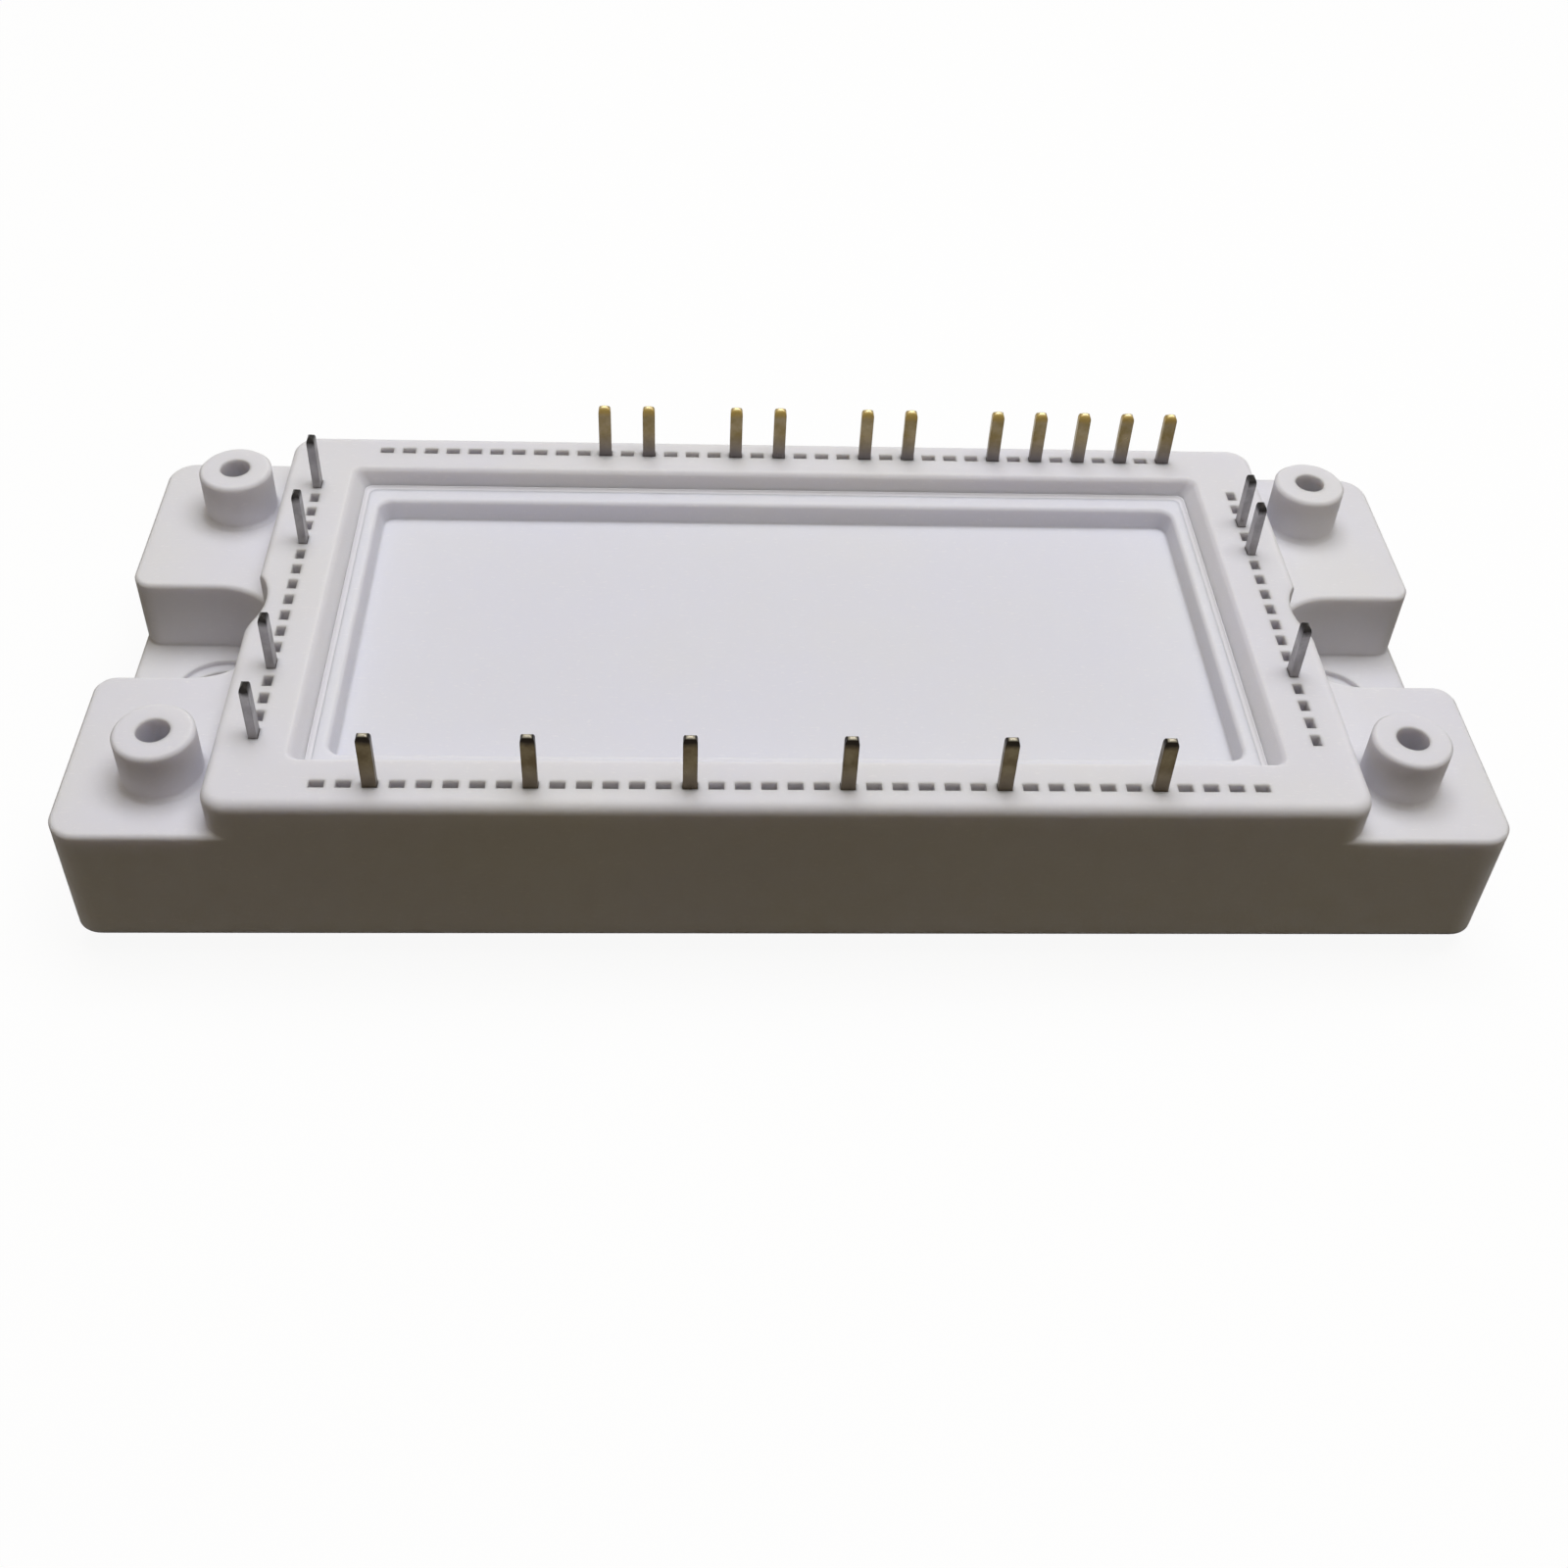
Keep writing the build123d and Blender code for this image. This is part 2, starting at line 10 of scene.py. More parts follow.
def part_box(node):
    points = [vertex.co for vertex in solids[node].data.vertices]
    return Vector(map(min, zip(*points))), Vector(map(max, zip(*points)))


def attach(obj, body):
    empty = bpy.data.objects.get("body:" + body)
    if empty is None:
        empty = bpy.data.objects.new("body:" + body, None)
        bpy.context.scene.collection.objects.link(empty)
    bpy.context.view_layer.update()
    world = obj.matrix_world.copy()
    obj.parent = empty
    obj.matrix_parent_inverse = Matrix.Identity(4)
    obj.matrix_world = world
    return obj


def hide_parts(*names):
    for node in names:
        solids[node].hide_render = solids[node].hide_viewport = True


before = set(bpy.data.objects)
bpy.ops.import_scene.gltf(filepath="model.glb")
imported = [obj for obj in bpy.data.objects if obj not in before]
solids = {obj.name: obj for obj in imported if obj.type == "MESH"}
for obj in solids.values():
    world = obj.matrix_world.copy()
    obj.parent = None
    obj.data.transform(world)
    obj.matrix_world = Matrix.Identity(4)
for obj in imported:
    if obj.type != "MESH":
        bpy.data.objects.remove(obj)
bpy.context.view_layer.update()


# Housing frame
# One injection moulding in off-white PBT with a third of short glass fibre. The mould is
# spark-eroded, so the skin is matt with a fine grain, and the fibres show as faint pale flecks.
fleck_mm = 0.22
fleck_stretch = (0.35, 1.0, 1.0)
fleck_hex = "#ECEAEC"
# Painted shade in corners and slots: how far it reaches, and its colour
corner_shade_reach = 0.0012
corner_shade_hex = "#8E8A86"
rubbed_mm = 1.6
rubbed_hex = "#F0EFF1"
grain_mm = 0.16
wave_mm = 9.0
soak_depth = 0.0013


def linear(code):
    """The linear colour of an sRGB hex value."""
    channels = [int(code[i:i + 2], 16) / 255 for i in (1, 3, 5)]
    return [c / 12.92 if c <= 0.04045 else ((c + 0.055) / 1.055) ** 2.4 for c in channels] + [1.0]


def repeats(size_mm):
    """The scale of a noise pattern whose features have this real size."""
    return 1000 / size_mm


def add_node(tree, kind, inputs=None, **settings):
    """Adds one node, with its settings, and sets or links its inputs."""
    node = tree.nodes.new(kind)
    for name, value in settings.items():
        setattr(node, name, value)
    for name, value in (inputs or {}).items():
        if isinstance(value, bpy.types.NodeSocket):
            tree.links.new(value, node.inputs[name])
        else:
            node.inputs[name].default_value = value
    return node


def start_material(name):
    """An empty material with its output node."""
    material = bpy.data.materials.new(name)
    material.use_nodes = True
    material.node_tree.nodes.clear()
    return material, material.node_tree, add_node(material.node_tree, "ShaderNodeOutputMaterial")


def dress(nodes, material):
    """Gives CAD nodes their material, with smooth shading inside each of their faces."""
    for name in nodes:
        mesh = solids[name].data
        mesh.materials.clear()
        mesh.materials.append(material)
        mesh.shade_smooth()


def moulded_pbt(name, body_hex, warm_hex, cloud_mm, edge_mm, soak):
    """Glass-filled PBT from a spark-eroded mould."""
    material, tree, output = start_material(name)
    place = add_node(tree, "ShaderNodeTexCoord").outputs["Object"]
    # Slow drift of tone across the moulding, from the flow of the melt
    clouds = add_node(
        tree, "ShaderNodeTexNoise", {"Vector": place, "Scale": repeats(cloud_mm), "Detail": 3.0}
    )
    drift = add_node(
        tree, "ShaderNodeMapRange",
        {"Value": clouds.outputs["Fac"],
         "From Min": 0.35, "From Max": 0.7, "To Min": 0.0, "To Max": 1.0},
    )
    tone = add_node(
        tree, "ShaderNodeMix",
        {0: drift.outputs["Result"], 6: linear(body_hex), 7: linear(warm_hex)}, data_type="RGBA",
    )
    # Fibre flecks: real fibres are 0.01 mm thick, and drawn coarser here so that they show
    stretch = add_node(tree, "ShaderNodeMapping", {"Vector": place, "Scale": fleck_stretch})
    flecks = add_node(
        tree, "ShaderNodeTexNoise",
        {"Vector": stretch.outputs["Vector"],
         "Scale": repeats(fleck_mm), "Detail": 2.0, "Roughness": 0.6},
    )
    fleck_mask = add_node(
        tree, "ShaderNodeMapRange",
        {"Value": flecks.outputs["Fac"],
         "From Min": 0.6, "From Max": 0.78, "To Min": 0.0, "To Max": 0.35},
    )
    flecked = add_node(
        tree, "ShaderNodeMix",
        {0: fleck_mask.outputs["Result"], 6: tone.outputs[2], 7: linear(fleck_hex)},
        data_type="RGBA",
    )
    # Painted shade: the colour turns darker deep in corners, slots and bores, where the surface is
    # closed in
    corners = add_node(tree, "ShaderNodeAmbientOcclusion", {"Distance": corner_shade_reach}, samples=6)
    corner_shade_mask = add_node(
        tree, "ShaderNodeMapRange",
        {"Value": corners.outputs["AO"],
         "From Min": 0.03, "From Max": 0.28, "To Min": 0.5, "To Max": 0.0},
    )
    corner_shaded = add_node(
        tree, "ShaderNodeMix",
        {0: corner_shade_mask.outputs["Result"], 6: flecked.outputs[2], 7: linear(corner_shade_hex)}, data_type="RGBA",
    )
    # The mould leaves its edges a little round, and handling rubs them paler in patches
    soft = add_node(tree, "ShaderNodeBevel", {"Radius": edge_mm / 1000}, samples=6)
    flat = add_node(tree, "ShaderNodeNewGeometry")
    turn = add_node(
        tree, "ShaderNodeVectorMath",
        {0: soft.outputs["Normal"], 1: flat.outputs["Normal"]}, operation="DOT_PRODUCT",
    )
    rub = add_node(
        tree, "ShaderNodeMapRange",
        {"Value": turn.outputs["Value"],
         "From Min": 0.97, "From Max": 0.8, "To Min": 0.0, "To Max": 0.55},
    )
    patchy = add_node(
        tree, "ShaderNodeTexNoise", {"Vector": place, "Scale": repeats(rubbed_mm), "Detail": 3.0}
    )
    rub_mask = add_node(
        tree, "ShaderNodeMath", {0: rub.outputs["Result"], 1: patchy.outputs["Fac"]},
        operation="MULTIPLY",
    )
    worn = add_node(
        tree, "ShaderNodeMix",
        {0: rub_mask.outputs["Value"], 6: corner_shaded.outputs[2], 7: linear(rubbed_hex)},
        data_type="RGBA",
    )
    gloss = add_node(
        tree, "ShaderNodeMapRange",
        {"Value": patchy.outputs["Fac"],
         "From Min": 0.3, "From Max": 0.7, "To Min": 0.5, "To Max": 0.64},
    )
    # The grain of the spark-eroded mould, and a slow waviness from shrinkage
    grain = add_node(
        tree, "ShaderNodeTexNoise",
        {"Vector": place, "Scale": repeats(grain_mm), "Detail": 2.0, "Roughness": 0.7},
    )
    grained = add_node(
        tree, "ShaderNodeBump",
        {"Strength": 0.16, "Distance": 0.00004,
         "Height": grain.outputs["Fac"], "Normal": soft.outputs["Normal"]},
    )
    wave = add_node(
        tree, "ShaderNodeTexNoise", {"Vector": place, "Scale": repeats(wave_mm), "Detail": 1.0}
    )
    waved = add_node(
        tree, "ShaderNodeBump",
        {"Strength": 0.25, "Distance": 0.0002,
         "Height": wave.outputs["Fac"], "Normal": grained.outputs["Normal"]},
    )
    # Light soaks about a millimetre into the white resin, which fills the slots and softens edges
    plastic = add_node(
        tree, "ShaderNodeBsdfPrincipled",
        {"Base Color": worn.outputs[2], "Roughness": gloss.outputs["Result"], "IOR": 1.5,
         "Specular IOR Level": 0.2, "Subsurface Weight": soak, "Subsurface Scale": soak_depth,
         "Subsurface Radius": (1.0, 0.95, 0.9), "Normal": waved.outputs["Normal"]},
    )
    tree.links.new(plastic.outputs["BSDF"], output.inputs["Surface"])
    return material


dress(
    ["housing_frame"],
    moulded_pbt("Moulded PBT, glass-filled", "#D9D8E1", "#DAD9DD", 14.0, 0.4, 0.8),
)


# Lid
# A shallow tray of the same PBT from another mould, pressed into the frame and bonded there.
# Its tone is a touch cooler than the frame's, and drifts more slowly across the wide floor.
dress(["lid"], moulded_pbt("Moulded PBT, lid", "#D8D8E3", "#D9D9E0", 20.0, 0.4, 0.8))


# Lid joint
# A thin fillet of the lid's adhesive, wiped smooth where the lid's rim meets the recess wall. It
# hides the joint between lid and frame, and is the same off-white as they are.
joint_corner = 0.0007
joint_leg = 0.00022
joint_sink = 0.00006
joint_lean_x = 0.55
joint_lean_y = 0.2
corner_steps = 6
section_steps = 5
crease = math.radians(50)
lid_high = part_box("lid")[1]
joint_top = lid_high[2]


def joint_ring(inward, level, lean):
    """A rounded rectangle inside the lid's edge, moved out as the drafted walls lean back."""
    reach_x = lid_high[0] - inward + lean * joint_lean_x
    reach_y = lid_high[1] - inward + lean * joint_lean_y
    ring = []
    for turn, (side_x, side_y) in enumerate(((1, 1), (-1, 1), (-1, -1), (1, -1))):
        for step in range(corner_steps + 1):
            angle = math.radians(90 * (turn + step / corner_steps))
            ring.append((
                side_x * (reach_x - joint_corner) + joint_corner * math.cos(angle),
                side_y * (reach_y - joint_corner) + joint_corner * math.sin(angle),
                level,
            ))
    return ring


# The fillet's section: how far in from the lid's edge, how high, and how far up the leaning wall
joint_section = [(-joint_sink, joint_top + joint_leg, joint_leg)]
for step in range(section_steps + 1):
    angle = math.radians(90 * step / section_steps)
    rise = joint_leg * (1 - math.sin(angle))
    joint_section.append((joint_leg * (1 - math.cos(angle)), joint_top + rise, rise))
joint_section.append((joint_leg, joint_top - joint_sink, 0.0))
joint_section.append((-joint_sink, joint_top - joint_sink, 0.0))

joint_mesh = bpy.data.meshes.new("Lid joint")
joint_bm = bmesh.new()
joint_rings = [[joint_bm.verts.new(p) for p in joint_ring(*spot)] for spot in joint_section]
for ring, following in zip(joint_rings, joint_rings[1:] + joint_rings[:1]):
    for here in range(len(ring)):
        there = (here + 1) % len(ring)
        joint_bm.faces.new((ring[here], ring[there], following[there], following[here]))
bmesh.ops.recalc_face_normals(joint_bm, faces=joint_bm.faces)
joint_bm.to_mesh(joint_mesh)
joint_bm.free()
joint_mesh.shade_smooth()
joint_mesh.set_sharp_from_angle(angle=crease)
joint_mesh.materials.append(
    moulded_pbt("Adhesive fillet, off-white", "#D9D8E1", "#DAD9DE", 9.0, 0.1, 0.0)
)
joint = bpy.data.objects.new("Lid_joint", joint_mesh)
bpy.context.scene.collection.objects.link(joint)
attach(joint, "root")


# Terminals
# Stamped copper strip, 1.05 by 0.65 mm, tinned and pressed into the frame. The tin is the same on
# every pin, and each row has its own painted light: painted shade makes the front row olive, painted
# highlights make the back row golden, and the side rows stay grey. The sheared tips carry a painted
# black reflection, apart from the back row's, which carry a painted golden highlight.
# Where the painted light lies on the pins: near the base, on the cut tip and on its end face
root_light_band = (0.0163, 0.0185)
tip_reflection_band = (0.0204, 0.0209)
tip_ragged = 0.0006
end_reflection_band = (0.02086, 0.02094)
tarnish_mm = 1.4
draw_line_mm = 0.08
end_round = 0.00055
end_taper = 0.45
end_cuts = (0.00055, 0.00042, 0.0003, 0.0001)
crown_reach = 0.00001


def tinned_copper(name, bright_hex, dull_hex, root_light_hex, tip_reflection_hex, end_reflection_hex):
    """Old tin plate on copper, with a painted reflection on its cut tip and painted light near its
    base.
    """
    material, tree, output = start_material(name)
    place = add_node(tree, "ShaderNodeTexCoord").outputs["Object"]
    # Tarnish comes in patches of a millimetre or two
    patches = add_node(
        tree, "ShaderNodeTexNoise",
        {"Vector": place, "Scale": repeats(tarnish_mm), "Detail": 4.0, "Roughness": 0.6},
    )
    tarnish = add_node(
        tree, "ShaderNodeMapRange",
        {"Value": patches.outputs["Fac"],
         "From Min": 0.38, "From Max": 0.62, "To Min": 0.0, "To Max": 1.0},
    )
    skin = add_node(
        tree, "ShaderNodeMix",
        {0: tarnish.outputs["Result"], 6: linear(bright_hex), 7: linear(dull_hex)},
        data_type="RGBA",
    )
    # Painted light low down, near the housing: a plain grey, which is a painted reflection of the
    # pale housing on the front row and painted shade at the foot on the back row
    height = add_node(tree, "ShaderNodeSeparateXYZ", {"Vector": place})
    root_light_mask = add_node(
        tree, "ShaderNodeMapRange",
        {"Value": height.outputs["Z"],
         "From Min": root_light_band[0], "From Max": root_light_band[1], "To Min": 1.0, "To Max": 0.0},
    )
    root_lit = add_node(
        tree, "ShaderNodeMix",
        {0: root_light_mask.outputs["Result"], 6: skin.outputs[2], 7: linear(root_light_hex)}, data_type="RGBA",
    )
    # Painted reflection on the sheared tip, with a ragged lower edge: black on the front and side
    # rows, golden on the back row
    ragged = add_node(
        tree, "ShaderNodeMath",
        {0: patches.outputs["Fac"], 1: tip_ragged, 2: height.outputs["Z"]},
        operation="MULTIPLY_ADD",
    )
    tip_reflection_mask = add_node(
        tree, "ShaderNodeMapRange",
        {"Value": ragged.outputs["Value"],
         "From Min": tip_reflection_band[0], "From Max": tip_reflection_band[1], "To Min": 0.0, "To Max": 0.95},
    )
    tip_reflected = add_node(
        tree, "ShaderNodeMix",
        {0: tip_reflection_mask.outputs["Result"], 6: root_lit.outputs[2], 7: linear(tip_reflection_hex)}, data_type="RGBA",
    )
    # Painted reflection on the flat end face: a pale highlight on the front and back rows, dark on
    # the side rows
    end_reflection_mask = add_node(
        tree, "ShaderNodeMapRange",
        {"Value": height.outputs["Z"],
         "From Min": end_reflection_band[0], "From Max": end_reflection_band[1], "To Min": 0.0, "To Max": 1.0},
    )
    end_reflected = add_node(
        tree, "ShaderNodeMix",
        {0: end_reflection_mask.outputs["Result"], 6: tip_reflected.outputs[2], 7: linear(end_reflection_hex)}, data_type="RGBA",
    )
    gloss = add_node(
        tree, "ShaderNodeMapRange",
        {"Value": patches.outputs["Fac"],
         "From Min": 0.3, "From Max": 0.7, "To Min": 0.26, "To Max": 0.46},
    )
    # Fine draw lines up the strip
    lines = add_node(tree, "ShaderNodeMapping", {"Vector": place, "Scale": (1.0, 1.0, 0.04)})
    drawn = add_node(
        tree, "ShaderNodeTexNoise",
        {"Vector": lines.outputs["Vector"], "Scale": repeats(draw_line_mm), "Detail": 1.0},
    )
    soft = add_node(tree, "ShaderNodeBevel", {"Radius": 0.0002}, samples=4)
    bump = add_node(
        tree, "ShaderNodeBump",
        {"Strength": 0.2, "Distance": 0.00002,
         "Height": drawn.outputs["Fac"], "Normal": soft.outputs["Normal"]},
    )
    metal = add_node(
        tree, "ShaderNodeBsdfPrincipled",
        {"Base Color": end_reflected.outputs[2], "Metallic": 1.0, "Roughness": gloss.outputs["Result"],
         "Normal": bump.outputs["Normal"]},
    )
    tree.links.new(metal.outputs["BSDF"], output.inputs["Surface"])
    return material


def rounded_terminal(name, material):
    """A terminal with its sheared end rubbed round, which the solid has as a plain bevel."""
    mesh = solids[name].data.copy()
    shaft = bmesh.new()
    shaft.from_mesh(mesh)
    top = max(vert.co.z for vert in shaft.verts)
    for drop in end_cuts:
        bmesh.ops.bisect_plane(
            shaft, geom=shaft.verts[:] + shaft.edges[:] + shaft.faces[:],
            plane_co=(0, 0, top - drop), plane_no=(0, 0, 1),
        )
    crown = [vert.co for vert in shaft.verts if vert.co.z > top - crown_reach]
    centre = sum(crown, Vector()) / len(crown)
    for vert in shaft.verts:
        share = (vert.co.z - top + end_round) / end_round
        if share > 0:
            shrink = 1 - end_taper * share * share
            vert.co.x = centre.x + (vert.co.x - centre.x) * shrink
            vert.co.y = centre.y + (vert.co.y - centre.y) * shrink
    shaft.to_mesh(mesh)
    shaft.free()
    mesh.materials.clear()
    mesh.materials.append(material)
    mesh.shade_smooth()
    mesh.set_sharp_from_angle(angle=crease)
    piece = bpy.data.objects.new(name.replace("pin", "Terminal"), mesh)
    bpy.context.scene.collection.objects.link(piece)
    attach(piece, "root")
    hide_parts(name)


# Three copies of the one tin, each with its own painted light: shade in front, highlights behind,
# plain grey at the sides
olive = tinned_copper(
    "Tinned copper, front row, painted shade", "#5E5440", "#4F4431", "#6E6558", "#1C1815", "#9A9382"
)
golden = tinned_copper(
    "Tinned copper, back row, painted highlights", "#958768", "#84744E", "#757070", "#9C844A", "#CDBB8C"
)
grey = tinned_copper(
    "Tinned copper, side rows, painted light", "#A09EA0", "#8E8C8E", "#969394", "#1C1815", "#2A2725"
)
rows = (("pin_front", olive), ("pin_back", golden), ("pin_left", grey), ("pin_right", grey))
for start, row_material in rows:
    for name in sorted(solids):
        if name.startswith(start):
            rounded_terminal(name, row_material)


# Baseplate
# Rolled copper, 3 mm thick, plated with nickel a few microns thick. It shows a warm grey sheen,
# fine rolling lines along its length, and faint clouds where fingers and flux have touched it.
haze_mm = 11.0
rolling_line_mm = 0.2


def nickel_plate():
    """Electroplated nickel over rolled copper."""
    material, tree, output = start_material("Nickel-plated copper, rolled")
    place = add_node(tree, "ShaderNodeTexCoord").outputs["Object"]
    clouds = add_node(
        tree, "ShaderNodeTexNoise",
        {"Vector": place, "Scale": repeats(haze_mm), "Detail": 5.0, "Roughness": 0.62},
    )
    haze = add_node(
        tree, "ShaderNodeMapRange",
        {"Value": clouds.outputs["Fac"],
         "From Min": 0.4, "From Max": 0.66, "To Min": 0.0, "To Max": 1.0},
    )
    skin = add_node(
        tree, "ShaderNodeMix",
        {0: haze.outputs["Result"], 6: linear("#C8C1B2"), 7: linear("#AFA48F")}, data_type="RGBA",
    )
    gloss = add_node(
        tree, "ShaderNodeMapRange",
        {"Value": clouds.outputs["Fac"],
         "From Min": 0.35, "From Max": 0.7, "To Min": 0.24, "To Max": 0.42},
    )
    # Rolling lines are centimetres long
    along = add_node(tree, "ShaderNodeMapping", {"Vector": place, "Scale": (0.01, 1.0, 1.0)})
    rolled = add_node(
        tree, "ShaderNodeTexNoise",
        {"Vector": along.outputs["Vector"], "Scale": repeats(rolling_line_mm), "Detail": 3.0},
    )
    soft = add_node(tree, "ShaderNodeBevel", {"Radius": 0.00015}, samples=4)
    bump = add_node(
        tree, "ShaderNodeBump",
        {"Strength": 0.18, "Distance": 0.00003,
         "Height": rolled.outputs["Fac"], "Normal": soft.outputs["Normal"]},
    )
    metal = add_node(
        tree, "ShaderNodeBsdfPrincipled",
        {"Base Color": skin.outputs[2], "Metallic": 1.0, "Roughness": gloss.outputs["Result"],
         "Normal": bump.outputs["Normal"]},
    )
    tree.links.new(metal.outputs["BSDF"], output.inputs["Surface"])
    return material


dress(["baseplate"], nickel_plate())


# Sealed inside
# The circuit: solder, bonded copper on alumina, silicon chips, aluminium ribbons and the bead of
# adhesive round it. None of it shows while the lid is on, so each finish keeps to one pattern.
def inner_finish(name, hex_a, hex_b, patch_mm, metallic, rough_low, rough_high, bump_mm):
    """Two tones in patches of a real size, with a matching spread of gloss and a slight relief."""
    material, tree, output = start_material(name)
    place = add_node(tree, "ShaderNodeTexCoord").outputs["Object"]
    patches = add_node(
        tree, "ShaderNodeTexNoise",
        {"Vector": place, "Scale": repeats(patch_mm), "Detail": 4.0, "Roughness": 0.6},
    )
    mask = add_node(
        tree, "ShaderNodeMapRange",
        {"Value": patches.outputs["Fac"],
         "From Min": 0.35, "From Max": 0.65, "To Min": 0.0, "To Max": 1.0},
    )
    tone = add_node(
        tree, "ShaderNodeMix",
        {0: mask.outputs["Result"], 6: linear(hex_a), 7: linear(hex_b)}, data_type="RGBA",
    )
    gloss = add_node(
        tree, "ShaderNodeMapRange",
        {"Value": patches.outputs["Fac"],
         "From Min": 0.35, "From Max": 0.65, "To Min": rough_low, "To Max": rough_high},
    )
    bump = add_node(
        tree, "ShaderNodeBump",
        {"Strength": 0.3, "Distance": bump_mm / 1000, "Height": patches.outputs["Fac"]},
    )
    surface = add_node(
        tree, "ShaderNodeBsdfPrincipled",
        {"Base Color": tone.outputs[2], "Metallic": metallic, "Roughness": gloss.outputs["Result"],
         "Normal": bump.outputs["Normal"]},
    )
    tree.links.new(surface.outputs["BSDF"], output.inputs["Surface"])
    return material


dress(
    ["seal_bead"],
    inner_finish("Silicone adhesive, cured", "#36373A", "#45464A", 2.5, 0.0, 0.4, 0.6, 0.1),
)
dress(
    ["substrate_solder"],
    inner_finish("Solder, reflowed", "#A9ABAF", "#8F9195", 1.5, 1.0, 0.3, 0.5, 0.05),
)
dress(
    ["substrate_back_copper", "substrate_tracks"],
    inner_finish("Bonded copper, etched", "#C8835C", "#A9664A", 3.0, 1.0, 0.3, 0.45, 0.02),
)
dress(
    ["substrate_ceramic"],
    inner_finish("Alumina, fired", "#EEECE6", "#E2DFD8", 1.0, 0.0, 0.6, 0.75, 0.01),
)
chips = ("rectifier_diode", "inverter_switch", "freewheel_diode", "brake_")
dress(
    [name for name in solids if name.startswith(chips)],
    inner_finish("Silicon chip, metallised", "#B9BBC0", "#9DA0A8", 2.0, 1.0, 0.15, 0.3, 0.005),
)
dress(
    ["thermistor"],
    inner_finish("Thermistor ceramic", "#4A4038", "#5C5148", 0.8, 0.0, 0.5, 0.7, 0.02),
)
dress(
    ["terminal_bonds", "chip_bonds"],
    inner_finish("Aluminium ribbon, drawn", "#D6D7DA", "#C3C4C8", 0.8, 1.0, 0.25, 0.4, 0.01),
)


# Silicone gel
# A soft clear gel, poured in warm and cured, that keeps air and damp off the live circuit.
# It is nearly colourless, with a wet gloss.
gel_wave_mm = 12.0
gel_material, gel_tree, gel_output = start_material("Silicone gel, clear")
gel_place = add_node(gel_tree, "ShaderNodeTexCoord").outputs["Object"]
gel_waves = add_node(
    gel_tree, "ShaderNodeTexNoise",
    {"Vector": gel_place, "Scale": repeats(gel_wave_mm), "Detail": 2.0},
)
gel_bump = add_node(
    gel_tree, "ShaderNodeBump",
    {"Strength": 0.2, "Distance": 0.0003, "Height": gel_waves.outputs["Fac"]},
)
gel_tone = add_node(
    gel_tree, "ShaderNodeMix",
    {0: gel_waves.outputs["Fac"], 6: linear("#EFF4F6"), 7: linear("#E4EDF0")}, data_type="RGBA",
)
gel_shader = add_node(
    gel_tree, "ShaderNodeBsdfPrincipled",
    {"Base Color": gel_tone.outputs[2], "Roughness": 0.08, "IOR": 1.41,
     "Transmission Weight": 0.95, "Normal": gel_bump.outputs["Normal"]},
)
gel_tree.links.new(gel_shader.outputs["BSDF"], gel_output.inputs["Surface"])
dress(["silicone_gel"], gel_material)


# Table
# A plain matt sheet. The camera and reflections see it pale, with the module's shadow on it. It
# bounces only a weak brownish light back up, so the module's sides stay in shade.
sheet_size = 4.0
sheet_cells = 8
sheet_bounce_hex = "#1C150B"
sheet_glow = 0.92


def seen_as_backdrop(tree):
    """1 for the camera's rays and those that metal and glass pass on, and 0 for all others."""
    ray = add_node(tree, "ShaderNodeLightPath")
    mirrored = add_node(
        tree, "ShaderNodeMath",
        {0: ray.outputs["Is Glossy Ray"], 1: ray.outputs["Is Transmission Ray"]},
        operation="MAXIMUM",
    )
    return add_node(
        tree, "ShaderNodeMath",
        {0: ray.outputs["Is Camera Ray"], 1: mirrored.outputs["Value"]}, operation="MAXIMUM",
    ).outputs["Value"]


bpy.ops.mesh.primitive_grid_add(
    x_subdivisions=sheet_cells, y_subdivisions=sheet_cells, size=sheet_size, location=(0, 0, 0)
)
table = bpy.context.object
table.name = "Table"
table_material, table_tree, table_output = start_material("Matt sheet")
sheet_place = add_node(table_tree, "ShaderNodeTexCoord").outputs["Object"]
sheet_tone = add_node(
    table_tree, "ShaderNodeTexNoise", {"Vector": sheet_place, "Scale": 6.0, "Detail": 2.0}
)
sheet_pale = add_node(
    table_tree, "ShaderNodeMix",
    {0: sheet_tone.outputs["Fac"], 6: linear("#FAFAFB"), 7: linear("#F6F6F7")}, data_type="RGBA",
)
sheet_seen = seen_as_backdrop(table_tree)
sheet_colour = add_node(
    table_tree, "ShaderNodeMix",
    {0: sheet_seen, 6: linear(sheet_bounce_hex), 7: sheet_pale.outputs[2]}, data_type="RGBA",
)
sheet = add_node(table_tree, "ShaderNodeBsdfDiffuse", {"Color": sheet_colour.outputs[2]})
glow = add_node(table_tree, "ShaderNodeEmission", {"Color": linear("#FFFFFF"), "Strength": 1.0})
glow_share = add_node(
    table_tree, "ShaderNodeMath", {0: sheet_seen, 1: sheet_glow}, operation="MULTIPLY"
)
sheet_lit = add_node(
    table_tree, "ShaderNodeMixShader",
    {0: glow_share.outputs["Value"], 1: sheet.outputs["BSDF"], 2: glow.outputs["Emission"]},
)
table_tree.links.new(sheet_lit.outputs["Shader"], table_output.inputs["Surface"])
table.data.materials.append(table_material)


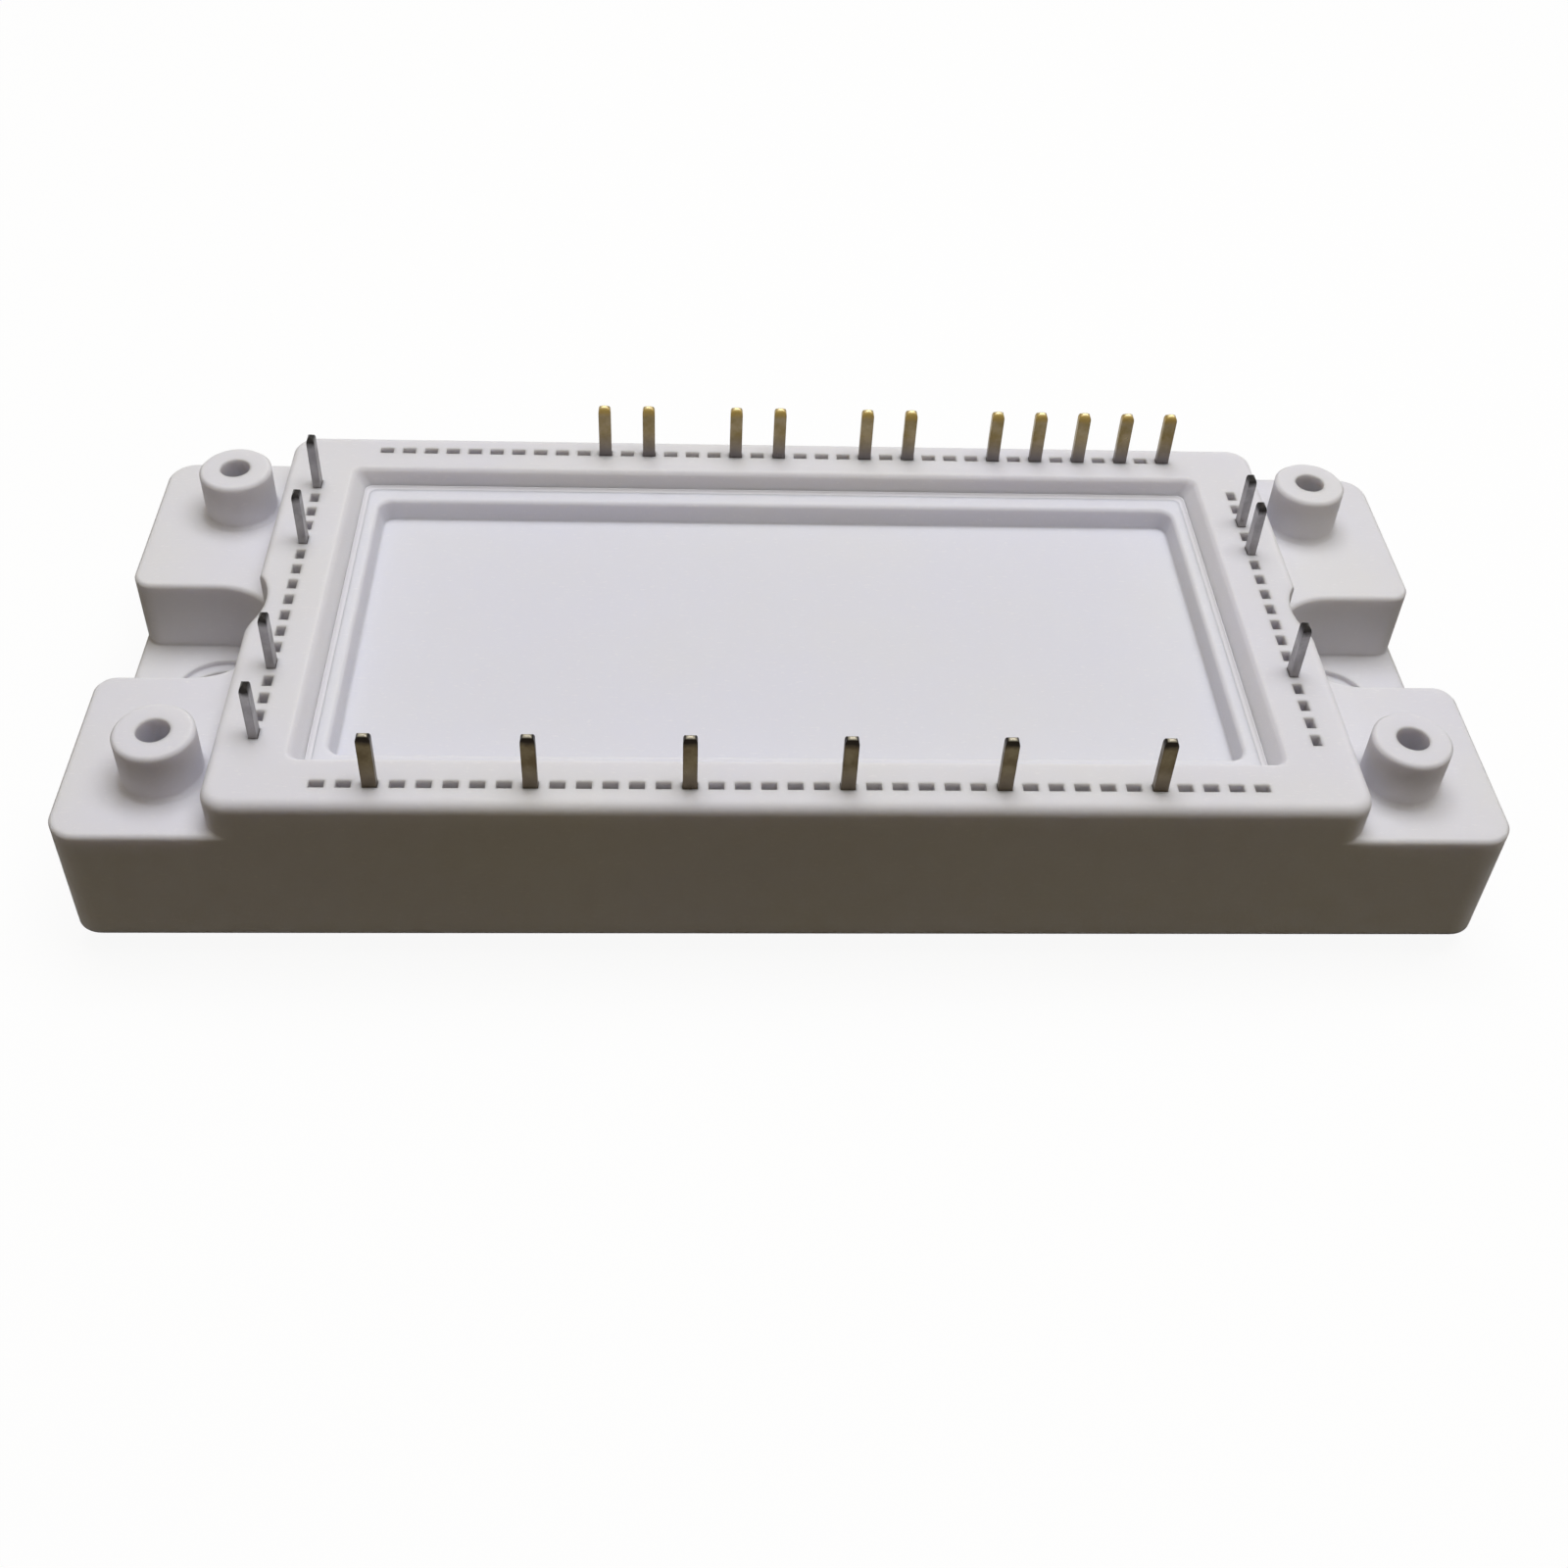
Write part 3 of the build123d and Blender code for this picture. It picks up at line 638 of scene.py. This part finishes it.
# Light
# One wide soft box nearly overhead, a little behind the module and to its right, so that its top is
# bright and its front is in shade. The room around is dim, brown at the horizon and paler overhead,
# and shows white to the camera and in reflections.
box_place = (0.06, 0.095, 0.55)
box_aim = Vector((0, 0, 0.01))
soft_box = bpy.data.objects.new("Soft box", bpy.data.lights.new("Soft box", "AREA"))
soft_box.data.shape = "RECTANGLE"
soft_box.data.size = 0.5
soft_box.data.size_y = 0.3
soft_box.data.energy = 2.7
soft_box.data.color = linear("#F9FBFF")[:3]
soft_box.location = box_place
soft_box.rotation_euler = (box_aim - soft_box.location).to_track_quat("-Z", "Y").to_euler()
bpy.context.scene.collection.objects.link(soft_box)

room = bpy.data.worlds.new("Room")
room.use_nodes = True
room_tree = room.node_tree
room_tree.nodes.clear()
room_output = add_node(room_tree, "ShaderNodeOutputWorld")
towards = add_node(room_tree, "ShaderNodeTexCoord").outputs["Generated"]
upward = add_node(room_tree, "ShaderNodeSeparateXYZ", {"Vector": towards})
sky = add_node(
    room_tree, "ShaderNodeMapRange",
    {"Value": upward.outputs["Z"],
     "From Min": 0.35, "From Max": 0.9, "To Min": 0.0, "To Max": 1.0},
)
air = add_node(
    room_tree, "ShaderNodeMix",
    {0: sky.outputs["Result"], 6: linear("#523E08"), 7: linear("#AAA592")}, data_type="RGBA",
)
dim = add_node(room_tree, "ShaderNodeBackground", {"Color": air.outputs[2], "Strength": 1.0})
white = add_node(
    room_tree, "ShaderNodeBackground", {"Color": linear("#FFFFFF"), "Strength": 1.0}
)
backdrop = add_node(
    room_tree, "ShaderNodeMixShader",
    {0: seen_as_backdrop(room_tree), 1: dim.outputs["Background"],
     2: white.outputs["Background"]},
)
room_tree.links.new(backdrop.outputs["Shader"], room_output.inputs["Surface"])
bpy.context.scene.world = room


# Camera
# It stands close in front of the module and looks down on it, a little from the left, and it is
# tilted by three degrees, as in the photograph.
yaw = math.radians(-3.992)
fall = math.radians(42.142)
tilt = math.radians(3.171)
aim = Vector((-0.00042, -0.00743, 0.016))
distance = 0.14333
forward = Vector((
    -math.sin(yaw) * math.cos(fall), math.cos(yaw) * math.cos(fall), -math.sin(fall),
))
camera = bpy.data.objects.new("Camera", bpy.data.cameras.new("Camera"))
camera.data.sensor_width = 36.0
camera.data.lens = 42.5
camera.data.shift_y = -0.075
camera.data.clip_start = 0.005
camera.location = aim - forward * distance
camera.rotation_mode = "QUATERNION"
camera.rotation_quaternion = forward.to_track_quat("-Z", "Y") @ Quaternion((0, 0, 1), tilt)
bpy.context.scene.collection.objects.link(camera)
bpy.context.scene.camera = camera
bpy.context.scene.view_settings.view_transform = "Standard"
